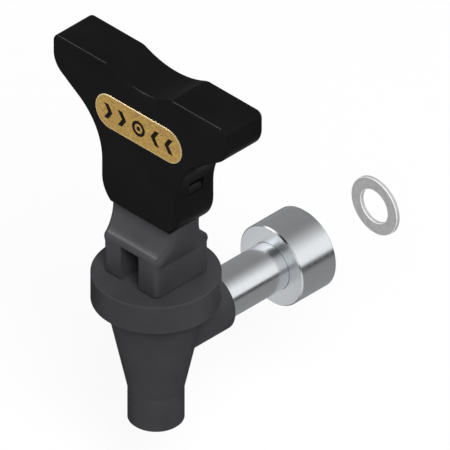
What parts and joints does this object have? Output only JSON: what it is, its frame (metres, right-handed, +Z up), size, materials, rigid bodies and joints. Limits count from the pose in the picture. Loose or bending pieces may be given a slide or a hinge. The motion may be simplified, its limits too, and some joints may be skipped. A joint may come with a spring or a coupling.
{
  "type": "lever tap",
  "caption": "Self-closing lever tap with a tapering spout, a flared handle and a union nut tail for a hot water boiler.",
  "frame": {"origin": "centre of the union nut's mouth, on the inlet axis", "axes": "+Y along the inlet axis into the boiler, +Z up along the spout axis, +X to the right of a person facing the tap"},
  "size_m": [0.0708, 0.1093, 0.1214],
  "materials": {
    "moulding": "satin moulded, dark grey",
    "handle": "polished, near black",
    "badge": "satin, lacquered",
    "stainless": "fine turned",
    "spring_steel": "drawn wire",
    "bush": "turned acetal",
    "insert": "moulded",
    "silicone": "smooth silicone",
    "seal": "smooth rubber",
    "washer": "flat fibre"
  },
  "bodies": {
    "body": {"valve_body": "moulding", "bonnet": "moulding", "stem_guide": "bush", "slip_ring": "bush", "seat_cup": "silicone", "return_spring": "spring_steel", "flow_straightener": "insert", "inlet_tube": "stainless", "inlet_seal": "seal"},
    "stem": {"stem": "stainless", "spring_washer": "stainless"},
    "lever": {"lever": "moulding", "pivot_pin": "stainless", "handle": "handle", "badge": "badge"},
    "nut": {"union_nut": "stainless"},
    "washer": {"union_washer": "washer"}
  },
  "joints": [
    {"name": "stem_lift", "type": "slide", "parent": "body", "child": "stem", "axis": [0, 0, 1], "range_m": [0, 0.00384], "stiffness_N_per_m": 1500, "springref_m": -0.008, "deforming": ["seat_cup", "return_spring"]},
    {"name": "lever_tilt", "type": "hinge", "parent": "stem", "child": "lever", "pos_m": [0, -0.061, 0.02825], "axis": [-1, 0, 0], "range_deg": [0, 25]},
    {"name": "nut_spin", "type": "hinge", "parent": "body", "child": "nut", "pos_m": [0, -0.007, 0], "axis": [0, 1, 0], "continuous": true},
    {"name": "washer_slide", "type": "slide", "parent": "nut", "child": "washer", "axis": [0, -1, 0], "range_m": [0, 0.03715]}
  ],
  "couplings": [
    {"joint": "lever_tilt", "follows": "stem_lift", "rad_per_m": 113.6}
  ]
}
